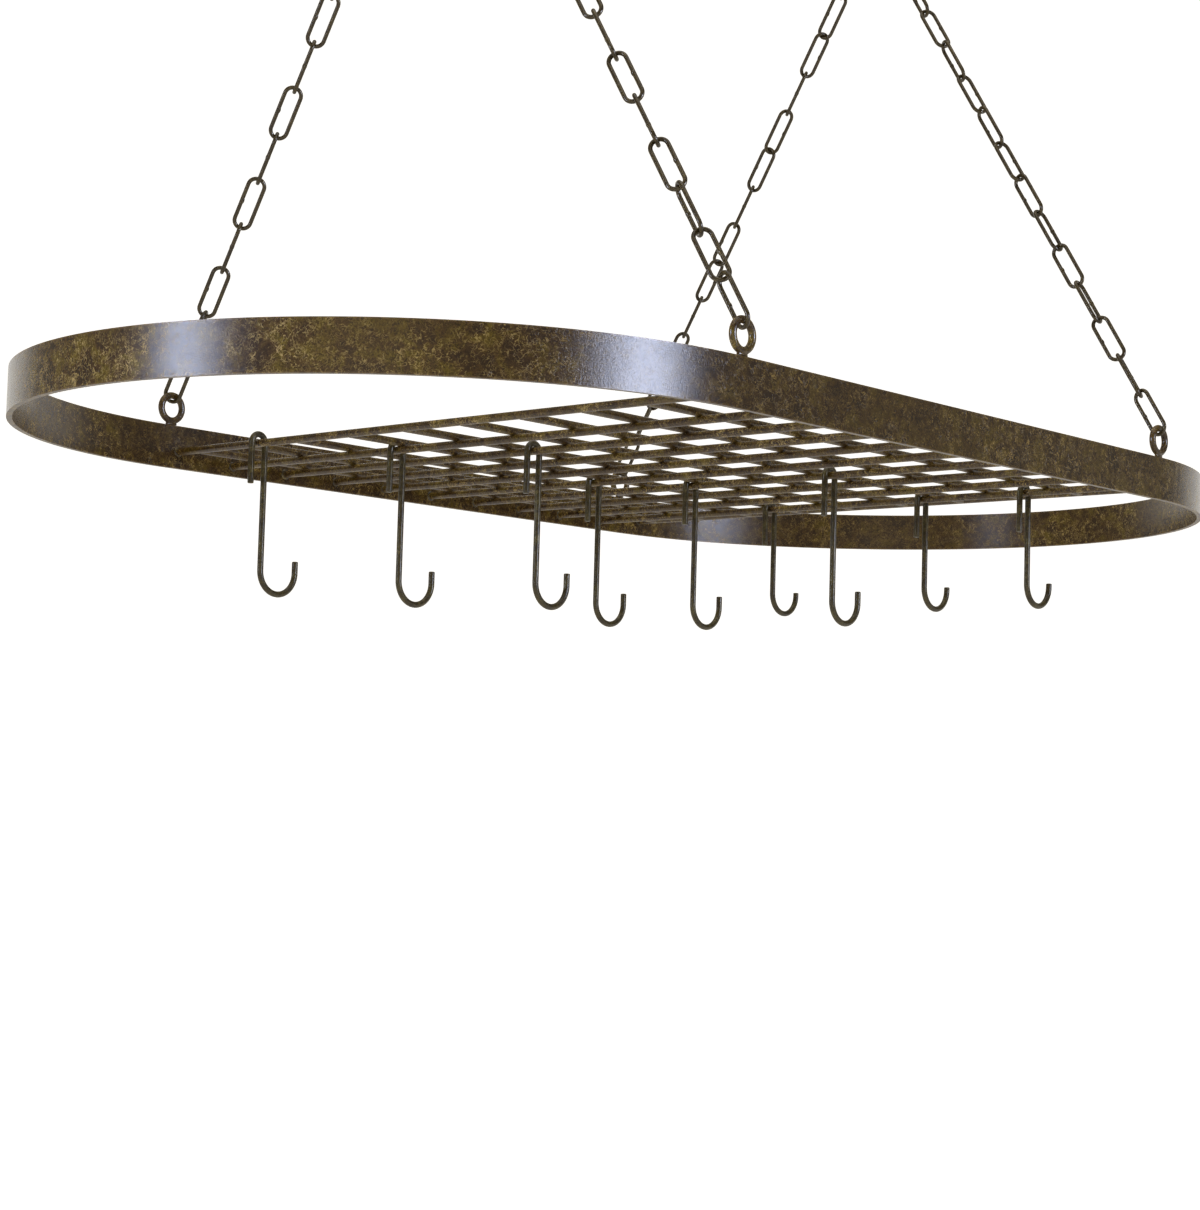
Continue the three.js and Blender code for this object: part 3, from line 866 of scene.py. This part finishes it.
def makeChainTree():
    tree, get = startTree("linkChain", [
        ("Link Inside", "Float"), ("Link Width", "Float"), ("Wire", "Float"), ("Sides", "Int"),
        ("Bend Steps", "Int"), ("Weld Swell", "Float"), ("Lean", "Vector"), ("Hung From", "Vector"),
    ])
    wide = calc(tree, "SUBTRACT", get["Link Width"], get["Wire"])
    tall = calc(tree, "ADD", get["Link Inside"], get["Wire"])
    bend = calc(tree, "MULTIPLY", wide, 0.49999)
    outline = addNode(tree, "GeometryNodeCurvePrimitiveQuadrilateral", None, {
        "Width": wide, "Height": tall,
    })
    oval = addNode(tree, "GeometryNodeFilletCurve", {"mode": "POLY"}, {
        "Curve": outline.outputs[0], "Count": get["Bend Steps"],
        "Radius": bend, "Limit Radius": True,
    })
    wireRadius = calc(tree, "MULTIPLY", get["Wire"], 0.5)
    section = addNode(tree, "GeometryNodeCurvePrimitiveCircle", None, {
        "Resolution": get["Sides"], "Radius": wireRadius,
    })
    link = addNode(tree, "GeometryNodeCurveToMesh", None, {
        "Curve": oval.outputs[0], "Profile Curve": section.outputs[0],
    })
    # the butt weld on one side of each link, flush outside and swollen inside
    swell = addNode(tree, "GeometryNodeMeshUVSphere", None, {
        "Segments": 12, "Rings": 8, "Radius": calc(tree, "MULTIPLY", wireRadius, get["Weld Swell"]),
    })
    inset = calc(tree, "MULTIPLY", wireRadius, calc(tree, "SUBTRACT", get["Weld Swell"], 1.0))
    aside = calc(tree, "SUBTRACT", calc(tree, "MULTIPLY", wide, 0.5), inset)
    side = addNode(tree, "ShaderNodeCombineXYZ", None, {"X": aside})
    weld = addNode(tree, "GeometryNodeTransform", None, {
        "Geometry": swell.outputs[0], "Translation": side.outputs[0], "Scale": (1.0, 1.7, 1.0),
    })
    both = addNode(tree, "GeometryNodeJoinGeometry")
    for part in (link, weld):
        tree.links.new(part.outputs[0], both.inputs[0])
    hanging = addNode(tree, "GeometryNodeTransform", None, {
        "Geometry": both.outputs[0], "Rotation": (math.pi / 2, 0, 0),
    })
    turn = addNode(tree, "GeometryNodeInputNamedAttribute", {"data_type": "FLOAT"}, {"Name": "turn"})
    spin = addNode(tree, "ShaderNodeCombineXYZ", None, {"Z": turn.outputs[0]})
    links = addNode(tree, "GeometryNodeInstanceOnPoints", None, {
        "Points": get["Geometry"], "Instance": hanging.outputs[0], "Rotation": spin.outputs[0],
    })
    hung = addNode(tree, "GeometryNodeTransform", None, {
        "Geometry": links.outputs[0], "Translation": get["Hung From"], "Rotation": get["Lean"],
    })
    return endTree(tree, get, hung.outputs[0])


chainTree = makeChainTree()
linkSizes = {
    "Link Inside": chains["inside"], "Link Width": chains["width"], "Wire": chains["wire"],
    "Sides": chains["sides"], "Bend Steps": chains["bendSteps"], "Weld Swell": chains["weldSwell"],
}
bowlDepth = math.sqrt(ceilingHooks["bowlRadius"] ** 2 - chains["topSpread"] ** 2)
topSeat = ceilingHooks["bowlCentre"] - bowlDepth
topReach = chains["topInside"] + chains["wire"] / 2 - ceilingHooks["wireRadius"] - chains["seat"]
topTilt = math.asin(chains["topSpread"] / topReach)
runReach = chains["first"] + (chains["run"] - 1) * chains["pitch"] + chains["lastStep"]
runReach += chains["topInside"] / 2 - rings["wireRadius"] - chains["seat"]
for corner, (alongX, acrossY) in corners.items():
    ringLow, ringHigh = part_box("eye_ring_" + corner)
    hangX, hangY = (ringLow.x + ringHigh.x) / 2, (ringLow.y + ringHigh.y) / 2
    slope = acrossY * math.asin(abs(hangY) / (topReach * math.cos(topTilt) + runReach))

    # the top link sits beside the middle of the ceiling hook's bowl
    aside = -acrossY * chains["topSpread"]
    lean = Matrix.Rotation(slope, 3, "X") @ Matrix.Rotation(math.copysign(topTilt, aside), 3, "Y")
    seat = Vector((hangX + aside, 0, topSeat))
    drop = ceilingHooks["wireRadius"] + chains["seat"] - chains["topInside"] / 2
    base = pointMesh("topLinkPoint", [(0, 0, drop)], turn=[math.pi / 2])
    top = growPiece("topLink_" + corner, chainTree, base, chainCoat, dict(
        linkSizes, **{"Lean": tuple(lean.to_euler()), "Hung From": tuple(seat)},
    ))
    finishPiece(top, "top_links", "chain_coat", "top_link_" + corner)

    # the run hangs straight from the top link's lower bend to the ring
    depths = [chains["first"] + i * chains["pitch"] for i in range(chains["run"])]
    depths.append(depths[-1] + chains["lastStep"])
    turns = [math.radians(90 * (i % 2) + twist) for i, twist in enumerate(linkTurns[corner])]
    ringTop = Vector((hangX, hangY, ringHigh.z - rings["wireRadius"]))
    elbow = ringTop + Vector((0, -math.sin(slope), math.cos(slope))) * runReach
    base = pointMesh("linkPoints", [(0, 0, -d) for d in depths], turn=turns)
    run = growPiece("chain_" + corner + "_links", chainTree, base, chainCoat, dict(
        linkSizes, **{"Lean": (slope, 0, 0), "Hung From": tuple(elbow)},
    ))
    body = "left_chains" if alongX < 0 else "right_chains"
    finishPiece(run, body, "chain_coat", "chain_" + corner, "ring_link_" + corner)
print("chains ready")


# pot hooks

potHooks = {
    "radius": 1.8 * mm,
    "sides": 20,
    "bend": 4.85 * mm,
    "leg": 24 * mm,
    "mouth": 13 * mm,
    "tipRounding": 0.6 * mm,
    "longForm": (73 * mm, 7 * mm),  # shank, and how far the tip rises again
    "shortForm": (55 * mm, 2 * mm),
    "longFrom": 85 * mm,  # a node taller than this is of the long form
}


def potHookPath(place, shank, rise):
    s = potHooks
    mouthX = s["bend"] + s["mouth"]
    points = straightRun((-s["bend"], 0, -s["leg"]), (-s["bend"], 0, 0), 5)[:-1]
    points += arc(0, 0, s["bend"], 180, 0, 20)
    points += straightRun((s["bend"], 0, 0), (s["bend"], 0, -shank), 12)[1:-1]
    points += arc(mouthX, -shank, s["mouth"], 180, 360, 30)
    tipX = mouthX + s["mouth"]
    points += straightRun((tipX, 0, -shank), (tipX, 0, rise - shank), 2)[1:]
    return [p + place for p in points]


for number in range(1, 10):
    node = f"pot_hook_{number}"
    low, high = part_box(node)
    isLong = high.z - low.z > potHooks["longFrom"]
    shank, rise = potHooks["longForm"] if isLong else potHooks["shortForm"]
    place = Vector((low.x + potHooks["bend"] + potHooks["radius"], (low.y + high.y) / 2, 0))
    place.z = high.z - potHooks["bend"] - potHooks["radius"]
    line = potHookPath(place, shank, rise)
    path = wirePaths(node + "Path", [line], potHooks["radius"], potHooks["tipRounding"])
    hook = growPiece(f"potHook_{number}", wireTree, path, potHookCoat, {
        "Wire Radius": potHooks["radius"], "Sides": potHooks["sides"],
    })
    finishPiece(hook, node + "_swings", "pot_hook_coat", node)
print("pot hooks ready")


# light, floor and backdrop

studio = {
    "floor": -1.25,
    "floorReach": 40.0,
    "wallDistance": 4.6,
    "wallHeight": 3.2,
    "sweepBack": 6.0,
    "sweepHalfWidth": 6.0,
    "bend": 0.8,
    "bendSteps": 16,
    "paleness": 0.82,
    "glow": 0.8,  # with the light that falls on the stage, enough to show it white
    "world": (0.37, 0.34, 0.28),
}
# a lamp that doesn't fill only shows as a reflection, and one that doesn't shine only fills
softboxes = [
    {
        "name": "leftStrip", "place": (-2.285, 0.556, -0.14), "aim": (-0.41, -0.40, -0.43),
        "size": (0.50, 0.7), "strength": 2.1, "colour": (0.66, 0.75, 1.0), "spread": 34,
    },
    {
        "name": "frontStrip", "place": (0.30, -2.30, -0.10), "aim": (-0.40, -0.146, -0.43),
        "size": (0.84, 0.7), "strength": 3.3, "colour": (0.68, 0.76, 1.0), "spread": 50,
        "fill": False,
    },
    {
        "name": "leftFill", "place": (-2.0, -1.1, -0.55), "aim": (0.0, 0.0, -0.43),
        "size": (1.2, 1.0), "strength": 0.9, "colour": (1.0, 0.93, 0.80),
    },
    {
        "name": "rightFill", "place": (2.3, -0.75, -0.40), "aim": (-0.2, 0.0, -0.43),
        "size": (1.2, 1.2), "strength": 1.2, "colour": (1.0, 0.93, 0.80), "shine": False,
    },
    {
        "name": "topPanel", "place": (-0.4, -0.3, 1.7), "aim": (0, 0, -0.4),
        "size": (2.4, 2.4), "strength": 1.4, "colour": (1, 1, 1),
    },
]


def stageMaterial(s):
    material = bpy.data.materials.new("paleStage")
    material.use_nodes = True
    tree = material.node_tree
    tree.nodes.clear()
    path = addNode(tree, "ShaderNodeLightPath").outputs
    seen = calc(tree, "MAXIMUM", path["Is Camera Ray"], path["Is Glossy Ray"])
    seen = calc(tree, "MAXIMUM", seen, path["Is Transmission Ray"])
    matt = addNode(tree, "ShaderNodeBsdfDiffuse", None, {"Color": (*[s["paleness"]] * 3, 1)})
    glow = addNode(tree, "ShaderNodeEmission", None, {
        "Color": (1, 1, 1, 1), "Strength": calc(tree, "MULTIPLY", seen, s["glow"]),
    })
    both = addNode(tree, "ShaderNodeAddShader", None, {0: matt.outputs[0], 1: glow.outputs[0]})
    # seen from underneath the floor is clear, so that the rack can be looked at from below
    clear = addNode(tree, "ShaderNodeBsdfTransparent")
    under = addNode(tree, "ShaderNodeNewGeometry").outputs["Backfacing"]
    oneSided = addNode(tree, "ShaderNodeMixShader", None, {
        0: under, 1: both.outputs[0], 2: clear.outputs[0],
    })
    addNode(tree, "ShaderNodeOutputMaterial", None, {"Surface": oneSided.outputs[0]})
    return material


# a sweep behind the rack, of floor, rounded corner and wall, and a wide floor just below it
def makeStage(s):
    camera = bpy.context.scene.camera.matrix_world
    ahead = -camera.col[2].xyz
    ahead.z = 0
    ahead.normalize()
    side = ahead.cross(Vector((0, 0, 1)))
    bend = s["bend"]
    profile = [(-s["sweepBack"], 0.0), (s["wallDistance"] - bend, 0.0)]
    for i in range(1, s["bendSteps"] + 1):
        a = math.pi / 2 * i / s["bendSteps"]
        profile.append((s["wallDistance"] - bend + bend * math.sin(a), bend * (1 - math.cos(a))))
    profile.append((s["wallDistance"], s["wallHeight"]))
    start = Vector((0, 0, s["floor"]))
    points, faces = [], []
    for along, up in profile:
        for aside in (-s["sweepHalfWidth"], s["sweepHalfWidth"]):
            points.append(start + ahead * along + side * aside + Vector((0, 0, up)))
    for i in range(len(profile) - 1):
        faces.append((2 * i, 2 * i + 1, 2 * i + 3, 2 * i + 2))
    reach, low = s["floorReach"], s["floor"] - 0.002
    far = [(-reach, -reach, low), (reach, -reach, low), (reach, reach, low), (-reach, reach, low)]
    material = stageMaterial(s)
    for name, places, sheets in (("sweep", points, faces), ("wideFloor", far, [(0, 1, 2, 3)])):
        mesh = bpy.data.meshes.new(name)
        mesh.from_pydata([tuple(p) for p in places], [], sheets)
        mesh.shade_smooth()
        mesh.materials.append(material)
        stage = bpy.data.objects.new(name, mesh)
        collection.objects.link(stage)


def addSoftbox(s):
    data = bpy.data.lights.new(s["name"], "AREA")
    data.shape = "RECTANGLE"
    data.size, data.size_y = s["size"]
    data.energy = s["strength"] * math.pi * s["size"][0] * s["size"][1]
    data.color = s["colour"]
    data.spread = math.radians(s.get("spread", 180))
    lamp = bpy.data.objects.new(s["name"], data)
    collection.objects.link(lamp)
    lamp.location = s["place"]
    facing = Vector(s["aim"]) - Vector(s["place"])
    lamp.rotation_euler = facing.to_track_quat("-Z", "Y").to_euler()
    lamp.visible_camera = False
    lamp.visible_diffuse = s.get("fill", True)
    lamp.visible_glossy = s.get("shine", True)


makeStage(studio)
world = bpy.data.worlds.new("studio")
world.use_nodes = True
world.node_tree.nodes["Background"].inputs["Color"].default_value = (*studio["world"], 1)
bpy.context.scene.world = world
for softbox in softboxes:
    addSoftbox(softbox)
print("studio ready")
